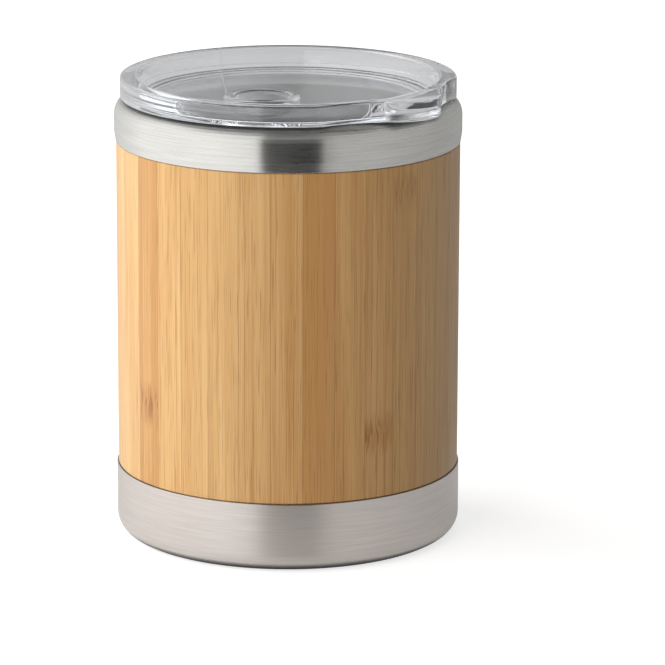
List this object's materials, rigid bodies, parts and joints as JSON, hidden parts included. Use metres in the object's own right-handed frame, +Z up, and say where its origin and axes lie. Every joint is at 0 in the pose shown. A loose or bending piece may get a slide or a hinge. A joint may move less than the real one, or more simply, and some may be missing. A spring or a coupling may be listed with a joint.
{
  "type": "bamboo tumbler",
  "caption": "Double-walled steel tumbler with a sleeve of glued bamboo strips, a brushed steel collar and base cup, and a clear press-on lid with a lifting tab.",
  "frame": {"origin": "centre of the ring that the cup stands on, at table level", "axes": "+Z up along the cup's axis, -Y the side that faces the viewer, +X to that viewer's right"},
  "size_m": [0.083, 0.0828, 0.1111],
  "materials": {
    "brushed_steel": "stainless steel brushed round the axis",
    "liner_steel": "drawn stainless steel, satin",
    "bamboo": "sanded bamboo with a thin matt lacquer",
    "clear_plastic": "clear moulded polystyrene, polished",
    "clear_silicone": "translucent silicone rubber"
  },
  "bodies": {
    "cup": {"inner_liner": "liner_steel", "outer_shell": "brushed_steel", "shell_bottom": "liner_steel", "base_cup": "brushed_steel", "bamboo_strip_01": "bamboo", "bamboo_strip_02": "bamboo", "bamboo_strip_03": "bamboo", "bamboo_strip_04": "bamboo", "bamboo_strip_05": "bamboo", "bamboo_strip_06": "bamboo", "bamboo_strip_07": "bamboo", "bamboo_strip_08": "bamboo", "bamboo_strip_09": "bamboo", "bamboo_strip_10": "bamboo", "bamboo_strip_11": "bamboo", "bamboo_strip_12": "bamboo", "bamboo_strip_13": "bamboo", "bamboo_strip_14": "bamboo", "bamboo_strip_15": "bamboo", "bamboo_strip_16": "bamboo", "bamboo_strip_17": "bamboo", "bamboo_strip_18": "bamboo", "bamboo_strip_19": "bamboo", "bamboo_strip_20": "bamboo", "bamboo_strip_21": "bamboo", "bamboo_strip_22": "bamboo", "bamboo_strip_23": "bamboo", "bamboo_strip_24": "bamboo", "bamboo_strip_25": "bamboo", "bamboo_strip_26": "bamboo", "bamboo_strip_27": "bamboo", "bamboo_strip_28": "bamboo", "bamboo_strip_29": "bamboo", "bamboo_strip_30": "bamboo", "bamboo_strip_31": "bamboo", "bamboo_strip_32": "bamboo", "bamboo_strip_33": "bamboo", "bamboo_strip_34": "bamboo"},
    "lid": {"lid": "clear_plastic", "lid_gasket": "clear_silicone"}
  },
  "joints": [
    {"name": "lid_lift", "type": "slide", "parent": "cup", "child": "lid", "axis": [0, 0, 1], "range_m": [0, 0.045]}
  ]
}
